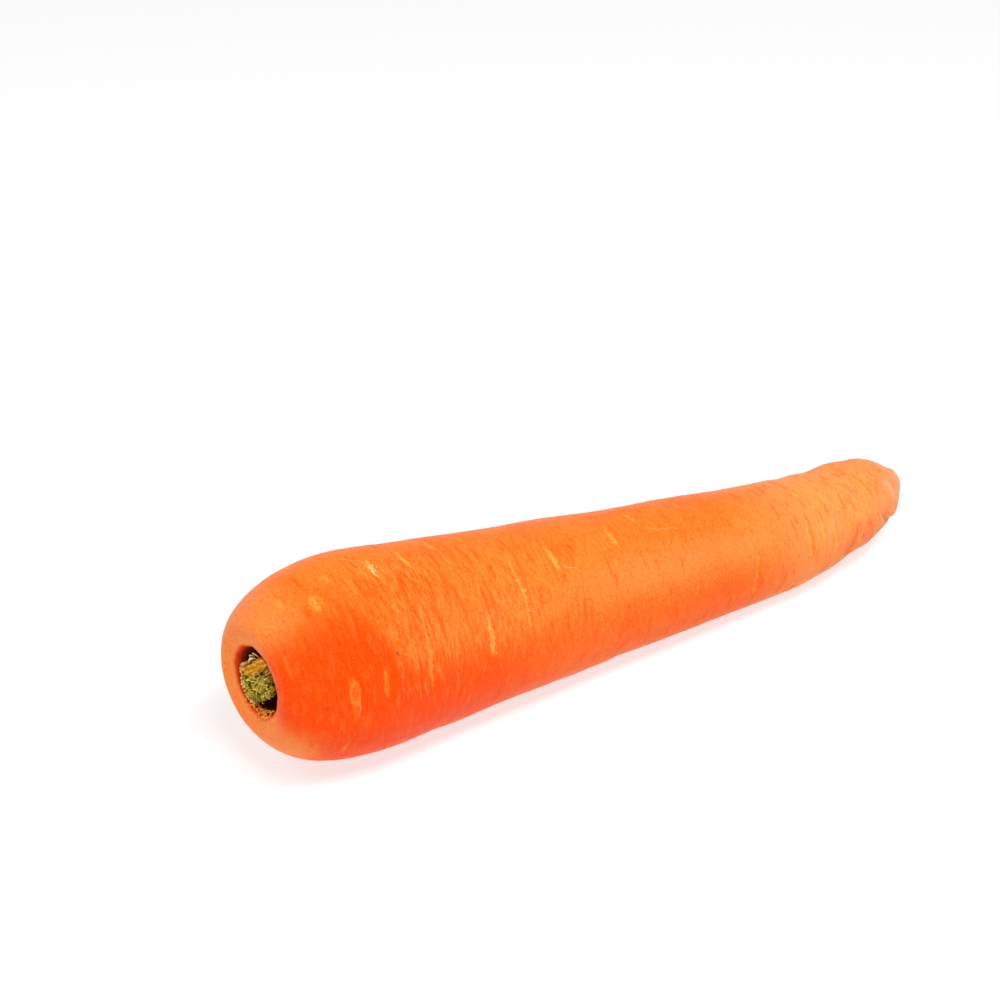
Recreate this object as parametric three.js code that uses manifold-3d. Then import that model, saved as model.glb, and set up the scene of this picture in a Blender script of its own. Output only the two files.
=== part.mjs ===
// A large carrot as picked and trimmed, lying on its side. The root runs along X with its crown at
// -X and its blunt tip at +X, and rests on the plane z = 0. Millimetres, +Z up.
import * as THREE from "three";
import { mergeVertices } from "three/addons/utils/BufferGeometryUtils.js";
import Module from "manifold-3d";

// Driving dimensions of the root.
const LENGTH = 180;
const TIP_BEND_START = 132; // distance from the crown at which the tip starts to bend
const TIP_BEND_SIDE = 9.5; // how far the tip has bent towards +Y
const TIP_BEND_LIFT = 2.6; // how far the tip has bent upwards
const CROWN_REACH = 32; // the stretch of the root that the crown's lean is spread over
const CROWN_LEAN = 0.063; // how far the crown's top runs ahead of its foot, in mm for each mm of height
const CROWN_TURN = 0.089; // and how far its +Y side runs ahead of its -Y side
const CROWN_SHIFT_Y = -2.3; // how far the socket lies off the root's axis
const CROWN_SHIFT_Z = 0.2;
const PITCH = 0.0705; // radians that the root is tipped by, so that its tapering underside lies level
const FLAT_DEPTH = 0.4; // depth of the small flats that the root rests on

// Resolution of the root's surface.
const SOCKET_RINGS = 12;
const SKIN_RINGS = 84;
const SECTORS = 48;

// The root's outline, as control points of a smooth curve: distance from the crown and radius, from
// the floor of the crown socket over its rim and the shoulder to the end of the tip.
const OUTLINE = [
  [8, 0], [8, 2.2], [7.8, 4.2], [6.8, 5.9], [4.1, 6.9], [2.1, 7.2], [1.5, 8], [1.3, 9.4],
  [0.6, 11], [1.5, 13], [3.9, 15.5], [8.2, 17.9], [14, 19.8], [21, 21.1], [29, 21], [38, 19.6],
  [50, 18.9], [66, 17.6], [84, 16.4], [104, 14.9], [124, 13.9], [140, 12.7], [153, 11], [163, 10.6],
  [169.5, 8.7], [172.5, 7.5], [175, 6.1], [178, 4.6], [179.8, 2.6], [LENGTH, 0],
];
const RIM_POINT = 6; // the control point at which the socket's wall turns into the rim

// Creases and root scars that run across the root: distance from the crown, first and last angle
// in degrees, counted from the top of the root over its -Y side, and depth.
const CREASES = [
  [6.4, -3, 13, 0.2], [12, 14, 26, 0.3], [13.9, 76, 100, 0.45], [16.8, 3, 11, 0.2],
  [20.8, 70, 87, 0.4], [26.7, 3, 18, 0.5], [31.8, 50, 90, 0.4], [34.6, 0, 16, 0.35],
  [43.7, -14, 4, 0.35], [47.5, 56, 84, 0.45], [51.4, -15, 0, 0.3], [57.4, 18, 74, 0.5],
  [67.8, 19, 40, 0.55], [85, 13, 32, 0.35], [93.7, -7, 11, 0.35], [105.1, 10, 36, 0.4],
  [107.8, -16, -1, 0.3], [121.5, 64, 124, 0.6], [130, 96, 130, 0.4], [137.3, 40, 92, 0.6],
  [139.5, 8, 22, 0.35], [150.3, 36, 54, 0.4], [152, 92, 124, 0.4], [160, 10, 52, 0.5],
];
const HIDDEN_CREASES = 26; // further creases, spread over the sides that those leave free
const CREASE_WIDTH = 1.5;

// A curved groove on the -Y side that sets off the end of the tip as a small nub.
const GROOVE_AT = 162.8; // distance from the crown at the groove's middle
const GROOVE_TURN = 1.26; // angle of its middle, in radians
const GROOVE_CURVE = 12; // how fast it draws off towards the tip on both sides of its middle
const GROOVE_DEPTH = 0.9;
const GROOVE_WIDTH = 1.3;
const NUB_SWELL = 0.5;

// How far the skin departs from a round section: oval, three-lobed, and in swellings along the root.
const OVAL = 0.16;
const LOBED = 0.2;
const SWOLLEN = 0.12;

// What is left of the leaf stalks and their dry sheath, standing in the socket. Their outlines are
// drawn as they are seen by someone who faces the crown: to the right and up, from the middle of the
// socket.
const GAP = 0.3; // the gap kept between the socket and what stands in it
const OCHRE_STALK = [
  [-4.5, 0.7], [-3.4, 1.5], [-2.3, 2.6], [-1, 4.2], [0.6, 5.6], [2, 5.8], [3.1, 5.3], [2.9, 4.6],
  [1.7, 3.4], [0.3, 2], [-1.2, 0.7], [-2.6, -0.2], [-3.6, -0.4], [-4.5, -0.3],
];
const BROWN_STALK = [
  [3.6, 4.8], [4.5, 4.1], [5.1, 3.1], [5.3, 2.1], [4.4, 1.7], [3.3, 1.9], [2.2, 2.3], [1.8, 2.7],
  [2.4, 3.2], [3, 3.9],
];
const GREEN_STALK = [
  [5.1, 0.9], [4.8, -0.4], [3.9, -1.5], [2.7, -2.6], [1.2, -4], [-0.4, -5], [-2.2, -5],
  [-3.4, -4.3], [-4.1, -3.3], [-4.5, -2.1], [-4.5, -0.9], [-3.1, -0.9], [-2.9, -2.2], [-1.9, -3.4],
  [-0.5, -3.5], [0.8, -2.7], [2.1, -1.3], [3.3, 0], [4.3, 1.2],
];
const GREEN_HEART = [
  [-2.4, -0.9], [-1.2, 0.1], [0.2, 1.3], [1.6, 1.8], [2.8, 1.2], [3, 0.4], [2, -0.8], [0.7, -2.1],
  [-0.4, -2.9], [-1.5, -2.8], [-2.3, -1.9],
];
const GREEN_PLATE = [
  [4.7, 0.7], [4.3, -0.5], [3.5, -1.5], [2.5, -2.4], [1, -3.7], [-0.5, -4.7], [-2.1, -4.7],
  [-3.2, -4], [-3.8, -3], [-4.2, -2], [-4.2, -1.1], [-2.6, -1], [-1.2, 0], [0.2, 1.1], [1.5, 1.5],
  [2.8, 1],
];
const SHEATH = [
  [-5.4, 1.7], [-5.5, 0.4], [-5.5, -1], [-5.4, -2.4], [-5, -3.7], [-4, -5], [-2.7, -5.9],
  [-1.5, -6.3], [-1.3, -5.8], [-2.4, -5.4], [-3.6, -4.6], [-4.4, -3.5], [-4.8, -2.2], [-4.9, -0.9],
  [-4.9, 0.4], [-4.9, 1.6],
];
const STALK_FOOT = 7.1; // depth below the crown's end at which the stalks stand in the socket
const OCHRE_TOP = 2; // depths at which their torn tops end
const BROWN_TOP = 2.2;
const GREEN_TOP = 2;
const HEART_TOP = 2.4;
const PLATE_TOP = 5.6;
const SHEATH_TOP = 2;
const SLANT = 0.12; // how much deeper the tops end for each mm towards -Y
const TORN = 0.5; // how far the torn tops rise and fall
const SOCKET_OPEN_DEPTH = 3.4; // depth above which the socket no longer narrows the stalks
const STALK_STEPS = 4;

function smooth(value, low, high) {
  const x = Math.min(Math.max((value - low) / (high - low), 0), 1);
  return x * x * (3 - 2 * x);
}

// The outline as a uniform cubic B-spline. Its ends are mirrored in the axis, which the curve
// therefore meets squarely. A point's x is the radius and its y the distance from the crown.
class Outline extends THREE.Curve {
  getPoint(t, target = new THREE.Vector2()) {
    const last = OUTLINE.length - 1;
    const place = t * last;
    const first = Math.min(Math.floor(place), last - 1);
    const u = place - first;
    const weights = [
      (1 - u) ** 3,
      3 * u ** 3 - 6 * u ** 2 + 4,
      -3 * u ** 3 + 3 * u ** 2 + 3 * u + 1,
      u ** 3,
    ];
    target.set(0, 0);
    weights.forEach((weight, i) => {
      const index = first - 1 + i;
      const inside = index < 0 ? -index : Math.min(index, 2 * last - index);
      const [distance, radius] = OUTLINE[inside];
      target.x += (weight * (inside === index ? radius : -radius)) / 6;
      target.y += (weight * distance) / 6;
    });
    return target;
  }
}
const outline = new Outline();
outline.arcLengthDivisions = 2000;
const rim = RIM_POINT / (OUTLINE.length - 1);

// Creases on the far side and the underside, in four rows as the side roots grow, placed by the
// golden ratio.
function hiddenCreases() {
  const golden = (Math.sqrt(5) - 1) / 2;
  const rows = [140, 195, 250, 305];
  return Array.from({ length: HIDDEN_CREASES }, (_, i) => {
    const distance = 10 + ((i + 0.5) * 158) / HIDDEN_CREASES;
    const middle = rows[i % rows.length] + 36 * (((i * golden) % 1) - 0.5);
    const half = 8 + 14 * ((i * golden * golden) % 1);
    return [distance, middle - half, middle + half, 0.25 + 0.3 * ((i * 5 * golden) % 1)];
  });
}
const creases = [...CREASES, ...hiddenCreases()];

function turnFrom(angle, middle) {
  return THREE.MathUtils.euclideanModulo(angle - middle + Math.PI, 2 * Math.PI) - Math.PI;
}

// The groove at the tip, and the swelling of the nub beyond it.
function nub(distance, angle) {
  const turn = turnFrom(angle, GROOVE_TURN);
  const past = distance - GROOVE_AT - GROOVE_CURVE * turn * turn;
  const side = 1 - smooth(Math.abs(turn), 0.5, 0.85);
  const groove = GROOVE_DEPTH * Math.exp(-((past / GROOVE_WIDTH) ** 2));
  return side * (NUB_SWELL * smooth(past, 0, 5) - groove);
}

// How far the skin stands out from the smooth outline: it is slightly lobed, swells and narrows a
// little along its length, and has the creases.
function relief(distance, angle) {
  let height = OVAL * Math.cos(2 * angle + 0.6 + distance / 70);
  height += LOBED * Math.cos(3 * angle - distance / 45);
  height += SWOLLEN * Math.sin(distance / 5.3 + 1.4 * Math.sin(angle + 0.5));
  for (const [at, from, to, depth] of creases) {
    const across = (distance - at) / CREASE_WIDTH;
    const middle = THREE.MathUtils.degToRad((from + to) / 2);
    const half = THREE.MathUtils.degToRad((to - from) / 2);
    const turn = turnFrom(angle, middle);
    const along = 1 - smooth(Math.abs(turn), half * 0.5, half + 0.12);
    height -= depth * Math.exp(-across * across) * along;
  }
  return height + nub(distance, angle);
}

// The root's skin takes the relief, but the socket and the very point of the tip don't.
function skinShare(distance, radius) {
  return distance < LENGTH / 2 ? smooth(radius, 8, 12) : smooth(radius, 0, 4);
}

// Leans and shifts the crown, and bends the tip.
function bend(point) {
  const crown = Math.max(1 - point.x / CROWN_REACH, 0) ** 2;
  const tip = Math.max((point.x - TIP_BEND_START) / (LENGTH - TIP_BEND_START), 0);
  const turnY = (2 * TIP_BEND_SIDE * tip) / (LENGTH - TIP_BEND_START);
  const turnZ = (2 * TIP_BEND_LIFT * tip) / (LENGTH - TIP_BEND_START);
  const ahead = CROWN_LEAN * point.z + CROWN_TURN * point.y;
  return point.set(
    point.x - turnY * point.y - turnZ * point.z - ahead * crown,
    point.y + TIP_BEND_SIDE * tip ** 2 + CROWN_SHIFT_Y * crown,
    point.z + TIP_BEND_LIFT * tip ** 2 + CROWN_SHIFT_Z * crown
  );
}

// Moves each point of a geometry by a function.
function shape(geometry, move) {
  const positions = geometry.attributes.position;
  const point = new THREE.Vector3();
  for (let i = 0; i < positions.count; i++) {
    move(point.fromBufferAttribute(positions, i));
    positions.setXYZ(i, point.x, point.y, point.z);
  }
  return geometry;
}

// A geometry with its shared points merged.
function welded(geometry) {
  geometry.deleteAttribute("normal");
  geometry.deleteAttribute("uv");
  return mergeVertices(geometry, 1e-3);
}

// The outline in points, close together in the socket and then evenly spaced, with a ring moved
// onto each crease.
function profile() {
  const socket = Array.from({ length: SOCKET_RINGS }, (_, i) =>
    outline.getPoint((rim * i) / SOCKET_RINGS)
  );
  const rimRadius = outline.getPoint(rim).x;
  const spaced = outline.getSpacedPoints(SKIN_RINGS);
  const skin = spaced.slice(spaced.findIndex((point) => point.x > rimRadius));
  for (const at of [...CREASES.map((crease) => crease[0]), GROOVE_AT]) {
    const next = skin.findIndex((point) => point.y > at);
    const share = (at - skin[next - 1].y) / (skin[next].y - skin[next - 1].y);
    const onCrease = skin[next - 1].clone().lerp(skin[next], share);
    skin[share < 0.5 ? next - 1 : next] = onCrease;
  }
  socket[0].x = 0;
  skin[skin.length - 1].x = 0;
  return [...socket, ...skin];
}

// The root, with its straight axis along X and the crown's end at x = 0.
function taprootGeometry() {
  const turned = welded(new THREE.LatheGeometry(profile(), SECTORS));
  turned.rotateZ(-Math.PI / 2);
  return shape(turned, (point) => {
    const radius = Math.hypot(point.y, point.z);
    const angle = Math.atan2(-point.y, point.z);
    const raised = radius + relief(point.x, angle) * skinShare(point.x, radius);
    const scale = radius > 0 ? raised / radius : 1;
    bend(point.set(point.x, point.y * scale, point.z * scale));
  });
}

// The radius of the socket at a depth below the crown's end.
function socketRadius(depth) {
  let t = 0;
  while (outline.getPoint(t).y > depth && t < rim) {
    t += rim / 200;
  }
  return outline.getPoint(t).x;
}

// A stump of a leaf stalk, drawn as the outline of its section, with a torn top at a given depth.
// It narrows towards its foot as the socket does.
function stumpGeometry(section, top) {
  const corners = section.map(([right, up]) => new THREE.Vector2(up, -right));
  const round = new THREE.SplineCurve([...corners, corners[0]]).getPoints(corners.length * 2);
  const geometry = new THREE.ExtrudeGeometry(new THREE.Shape(round.slice(1)), {
    depth: STALK_FOOT - top,
    steps: STALK_STEPS,
    bevelEnabled: false,
  });
  return shape(welded(geometry), (point) => {
    const rise = point.z / (STALK_FOOT - top);
    const wave = Math.sin(2.6 * point.x + 1.3 * point.y) + Math.sin(3.7 * point.y - 1.9 * point.x);
    const depth = STALK_FOOT - point.z - (TORN / 2) * wave * rise ** 3 - SLANT * point.y * rise;
    const open = socketRadius(SOCKET_OPEN_DEPTH) - GAP;
    const narrow = Math.min(1, (socketRadius(depth) - GAP) / open);
    bend(point.set(depth, point.y * narrow, point.x * narrow));
  });
}

// Joins closed geometries that overlap into one.
const wasm = await Module();
wasm.setup();
function joined(geometries) {
  const solids = geometries.map(
    (geometry) =>
      new wasm.Manifold(
        new wasm.Mesh({
          numProp: 3,
          vertProperties: new Float32Array(geometry.attributes.position.array),
          triVerts: new Uint32Array(geometry.index.array),
        })
      )
  );
  const mesh = solids.reduce((whole, piece) => whole.add(piece)).getMesh();
  const geometry = new THREE.BufferGeometry();
  geometry.setAttribute("position", new THREE.BufferAttribute(mesh.vertProperties, 3));
  geometry.setIndex(new THREE.BufferAttribute(mesh.triVerts, 1));
  return geometry;
}

function piece(name, geometry, color, roughness) {
  geometry.computeVertexNormals();
  const mesh = new THREE.Mesh(
    geometry,
    new THREE.MeshStandardMaterial({ color, roughness, metalness: 0 })
  );
  mesh.name = name;
  return mesh;
}

const carrot = new THREE.Group();
const taproot = piece("taproot", taprootGeometry(), 0xff6a1c, 0.4);
const greenStalks = joined([
  stumpGeometry(GREEN_PLATE, PLATE_TOP),
  stumpGeometry(GREEN_STALK, GREEN_TOP),
  stumpGeometry(GREEN_HEART, HEART_TOP),
]);
carrot.add(
  taproot,
  piece("green_stalk_bases", greenStalks, 0x9a9038, 0.75),
  piece("ochre_stalk_base", stumpGeometry(OCHRE_STALK, OCHRE_TOP), 0xe0a024, 0.6),
  piece("brown_stalk_base", stumpGeometry(BROWN_STALK, BROWN_TOP), 0xb99a66, 0.75),
  piece("dry_sheath", stumpGeometry(SHEATH, SHEATH_TOP), 0xe8c88c, 0.8)
);

// Tips the root level, sets it on the floor over the origin, and presses its flats.
carrot.rotation.y = PITCH;
carrot.updateMatrixWorld(true);
const box = new THREE.Box3().setFromObject(taproot, true);
const middle = box.getCenter(new THREE.Vector3());
carrot.position.set(-middle.x, -middle.y, -box.min.z - FLAT_DEPTH);
carrot.updateMatrixWorld(true);
const toRoot = carrot.matrixWorld.clone().invert();
shape(taproot.geometry, (point) => {
  point.applyMatrix4(carrot.matrixWorld);
  point.z = Math.max(point.z, 0);
  point.applyMatrix4(toRoot);
});

export default carrot;
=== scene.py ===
import math
import random

import bpy
import numpy as np
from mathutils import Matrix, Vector, noise


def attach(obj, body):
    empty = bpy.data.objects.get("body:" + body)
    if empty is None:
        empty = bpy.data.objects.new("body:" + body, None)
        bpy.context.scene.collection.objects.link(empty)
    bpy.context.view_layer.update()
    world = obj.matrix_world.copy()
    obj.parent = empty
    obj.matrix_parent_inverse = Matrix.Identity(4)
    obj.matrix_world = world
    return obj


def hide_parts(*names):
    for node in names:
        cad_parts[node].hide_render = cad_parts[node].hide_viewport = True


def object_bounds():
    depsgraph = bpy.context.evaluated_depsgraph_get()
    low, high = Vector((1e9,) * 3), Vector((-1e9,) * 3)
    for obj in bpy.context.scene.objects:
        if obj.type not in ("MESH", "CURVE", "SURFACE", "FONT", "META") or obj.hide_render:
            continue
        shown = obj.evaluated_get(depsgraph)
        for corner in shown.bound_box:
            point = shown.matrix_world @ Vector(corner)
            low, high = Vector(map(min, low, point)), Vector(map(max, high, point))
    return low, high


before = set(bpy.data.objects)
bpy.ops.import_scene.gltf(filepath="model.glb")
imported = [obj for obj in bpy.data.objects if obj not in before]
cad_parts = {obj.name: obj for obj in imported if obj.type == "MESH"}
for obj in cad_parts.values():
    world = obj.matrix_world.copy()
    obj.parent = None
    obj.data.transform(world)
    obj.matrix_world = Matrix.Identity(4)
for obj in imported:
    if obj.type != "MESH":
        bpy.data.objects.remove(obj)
cad_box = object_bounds()
scene = bpy.context.scene
MM = 0.001

# Driving dimensions of the root, in millimetres, as in the part's source.
LENGTH = 180
TIP_BEND_START = 132
TIP_BEND_SIDE = 9.5
TIP_BEND_LIFT = 2.6
CROWN_REACH = 32
CROWN_LEAN = 0.063
CROWN_TURN = 0.089
CROWN_SHIFT_Y = -2.3
CROWN_SHIFT_Z = 0.2
PITCH = 0.0705
FLAT_DEPTH = 0.4
OVAL = 0.16
LOBED = 0.2
SWOLLEN = 0.12
CREASE_WIDTH = 1.5
HIDDEN_CREASES = 26
GOLDEN = (math.sqrt(5) - 1) / 2
RIM_POINT = 6

# The root's outline: control points as distance from the crown and radius.
OUTLINE = np.array([
    (8, 0), (8, 2.2), (7.8, 4.2), (6.8, 5.9), (4.1, 6.9), (2.1, 7.2), (1.5, 8), (1.3, 9.4),
    (0.6, 11), (1.5, 13), (3.9, 15.5), (8.2, 17.9), (14, 19.8), (21, 21.1), (29, 21), (38, 19.6),
    (50, 18.9), (66, 17.6), (84, 16.4), (104, 14.9), (124, 13.9), (140, 12.7), (153, 11), (163, 10.6),
    (169.5, 8.7), (172.5, 7.5), (175, 6.1), (178, 4.6), (179.8, 2.6), (LENGTH, 0),
])

# Root scars and creases: distance from the crown, first and last angle in degrees, depth, width of
# the slit, how yellow it is and how cream its middle is.
CREASES = [
    (6.4, -3, 13, 0.2, 0.8, 0.55, 0.0), (12, 14, 26, 0.3, 0.9, 0.7, 0.1),
    (13.9, 76, 100, 0.45, 0.5, 0.35, 0.0), (16.8, 3, 11, 0.2, 0.9, 0.45, 0.0),
    (20.8, 70, 87, 0.4, 0.55, 0.6, 0.0), (26.7, 3, 18, 0.5, 0.8, 0.9, 1.0),
    (31.8, 50, 90, 0.4, 0.6, 0.55, 0.1), (34.6, 0, 16, 0.35, 0.8, 0.8, 0.15),
    (43.7, -14, 4, 0.35, 0.7, 0.6, 0.1), (47.5, 56, 84, 0.45, 0.8, 0.8, 0.35),
    (51.4, -15, 0, 0.3, 0.6, 0.5, 0.0), (57.4, 18, 74, 0.5, 0.5, 0.75, 0.25),
    (67.8, 19, 40, 0.55, 0.75, 1.0, 0.3), (85, 13, 32, 0.35, 0.8, 0.7, 0.1),
    (93.7, -7, 11, 0.35, 0.6, 0.75, 0.1), (105.1, 10, 36, 0.4, 0.6, 0.4, 0.0),
    (107.8, -16, -1, 0.3, 0.6, 0.6, 0.1), (121.5, 64, 124, 0.6, 0.7, 0.65, 0.1),
    (130, 96, 130, 0.4, 0.6, 0.3, 0.0), (137.3, 40, 92, 0.6, 0.7, 0.6, 0.1),
    (139.5, 8, 22, 0.35, 0.6, 0.5, 0.1), (150.3, 36, 54, 0.4, 0.6, 0.6, 0.1),
    (152, 92, 124, 0.4, 0.6, 0.3, 0.0), (160, 10, 52, 0.5, 0.7, 0.75, 0.0),
]

# The curved groove that sets off the end of the tip as a small nub.
GROOVE_AT = 162.8
GROOVE_TURN = 1.26
GROOVE_CURVE = 12
GROOVE_DEPTH = 0.9
GROOVE_WIDTH = 1.3
NUB_SWELL = 0.5

# What stands in the socket: outlines as seen by someone who faces the crown, right and up.
GAP = 0.3
OCHRE_STALK = [
    (-4.5, 0.7), (-3.4, 1.5), (-2.3, 2.6), (-1, 4.2), (0.6, 5.6), (2, 5.8), (3.1, 5.3), (2.9, 4.6),
    (1.7, 3.4), (0.3, 2), (-1.2, 0.7), (-2.6, -0.2), (-3.6, -0.4), (-4.5, -0.3),
]
BROWN_STALK = [
    (3.6, 4.8), (4.5, 4.1), (5.1, 3.1), (5.3, 2.1), (4.4, 1.7), (3.3, 1.9), (2.2, 2.3), (1.8, 2.7),
    (2.4, 3.2), (3, 3.9),
]
GREEN_STALK = [
    (5.1, 0.9), (4.8, -0.4), (3.9, -1.5), (2.7, -2.6), (1.2, -4), (-0.4, -5), (-2.2, -5),
    (-3.4, -4.3), (-4.1, -3.3), (-4.5, -2.1), (-4.5, -0.9), (-3.1, -0.9), (-2.9, -2.2), (-1.9, -3.4),
    (-0.5, -3.5), (0.8, -2.7), (2.1, -1.3), (3.3, 0), (4.3, 1.2),
]
GREEN_HEART = [
    (-2.4, -0.9), (-1.2, 0.1), (0.2, 1.3), (1.6, 1.8), (2.8, 1.2), (3, 0.4), (2, -0.8), (0.7, -2.1),
    (-0.4, -2.9), (-1.5, -2.8), (-2.3, -1.9),
]
GREEN_PLATE = [
    (4.7, 0.7), (4.3, -0.5), (3.5, -1.5), (2.5, -2.4), (1, -3.7), (-0.5, -4.7), (-2.1, -4.7),
    (-3.2, -4), (-3.8, -3), (-4.2, -2), (-4.2, -1.1), (-2.6, -1), (-1.2, 0), (0.2, 1.1), (1.5, 1.5),
    (2.8, 1),
]
SHEATH = [
    (-5.4, 1.7), (-5.5, 0.4), (-5.5, -1), (-5.4, -2.4), (-5, -3.7), (-4, -5), (-2.7, -5.9),
    (-1.5, -6.3), (-1.3, -5.8), (-2.4, -5.4), (-3.6, -4.6), (-4.4, -3.5), (-4.8, -2.2), (-4.9, -0.9),
    (-4.9, 0.4), (-4.9, 1.6),
]
STALK_FOOT = 7.1
SOCKET_OPEN_DEPTH = 3.4
SLANT = 0.12
OCHRE_TOP = 2
BROWN_TOP = 2.2
GREEN_TOP = 2
HEART_TOP = 2.4
PLATE_TOP = 5.6
SHEATH_TOP = 2

# Resolution: the skin's rings, the points in each ring, and the stumps' mesh width in mm.
RINGS = 536
SECTORS = 180
STALK_VOXEL = 0.13

# The loose strands in the socket: how many, and how far from its middle the green ones reach.
GREEN_FIBRES = 84
BROWN_FIBRES = 26
RIM_SHREDS = 90
FIBRE_REACH = 4.9

# The finer unevenness of the skin, in mm: slow and quick, near the tip, in the torn edge of the socket,
# and how far the whole skin is lowered to make room for it.
SLOW_RELIEF = 0.16
QUICK_RELIEF = 0.028
TIP_RELIEF = 0.13
TORN_RIM = 0.45
LOWERED = 0.03

# The studio: the floor's half width in metres, its grey and its glow, and the strength of the sky.
FLOOR_REACH = 3
FLOOR_GREY = 0.36
FLOOR_GLOW = 0.68
SKY = 0.42

# The camera, from the photograph's viewpoint.
CAMERA_AT = Vector((-0.25496, -0.33703, 0.26033))
CAMERA_AZIMUTH = -33.85
CAMERA_ELEVATION = 28
CAMERA_LENS = 80


def smooth(value, low, high):
    """0 below low, 1 above high, and a smooth rise between them."""
    x = np.clip((value - low) / (high - low), 0, 1)
    return x * x * (3 - 2 * x)


def peak(value, width):
    """1 where the value is 0, and a bell's fall on both sides of it."""
    return np.exp(-((value / width) ** 2))


def outline_at(t):
    """Distance and radius at t from 0 to 1, on a uniform cubic B-spline that is mirrored in the axis
    at its ends."""
    last = len(OUTLINE) - 1
    place = np.clip(t, 0, 1) * last
    first = np.minimum(place.astype(int), last - 1)
    u = place - first
    weights = ((1 - u) ** 3, 3 * u**3 - 6 * u**2 + 4, -3 * u**3 + 3 * u**2 + 3 * u + 1, u**3)
    found = np.zeros((len(t), 2))
    for step, weight in enumerate(weights):
        index = first - 1 + step
        inside = np.where(index < 0, -index, np.minimum(index, 2 * last - index))
        side = np.where(inside == index, 1, -1)
        found[:, 0] += weight * OUTLINE[inside, 0] / 6
        found[:, 1] += weight * side * OUTLINE[inside, 1] / 6
    return found[:, 0], found[:, 1]


FINE_T = np.linspace(0, 1, 6000)
FINE_DISTANCE, FINE_RADIUS = outline_at(FINE_T)
RIM_T = RIM_POINT / (len(OUTLINE) - 1)


def socket_radius(depth):
    """The socket's radius at a depth below the crown's end."""
    inner = FINE_T < RIM_T
    return np.interp(depth, FINE_DISTANCE[inner][::-1], FINE_RADIUS[inner][::-1])


def hidden_creases():
    """Creases on the far side and the underside, in four rows, placed by the golden ratio."""
    rows = (140, 195, 250, 305)
    found = []
    for i in range(HIDDEN_CREASES):
        distance = 10 + (i + 0.5) * 158 / HIDDEN_CREASES
        middle = rows[i % len(rows)] + 36 * ((i * GOLDEN) % 1 - 0.5)
        half = 8 + 14 * ((i * GOLDEN * GOLDEN) % 1)
        draw = (i * 5 * GOLDEN) % 1
        sizes = (0.25 + 0.3 * draw, 0.5 + 0.4 * draw, 0.35 + 0.6 * draw, 0.2 * draw)
        found.append((distance, middle - half, middle + half, *sizes))
    return found


def turn_from(angle, middle):
    """How far an angle lies from the middle, both in radians, the short way round."""
    return (angle - middle + math.pi) % (2 * math.pi) - math.pi


def wander(angle, seed, size):
    """A small sideways wander of a crease along its length."""
    waves = np.sin(9 * angle + seed) + 0.6 * np.sin(23 * angle + 2.3 * seed)
    return size * (waves + 0.35 * np.sin(51 * angle - seed))


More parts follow.
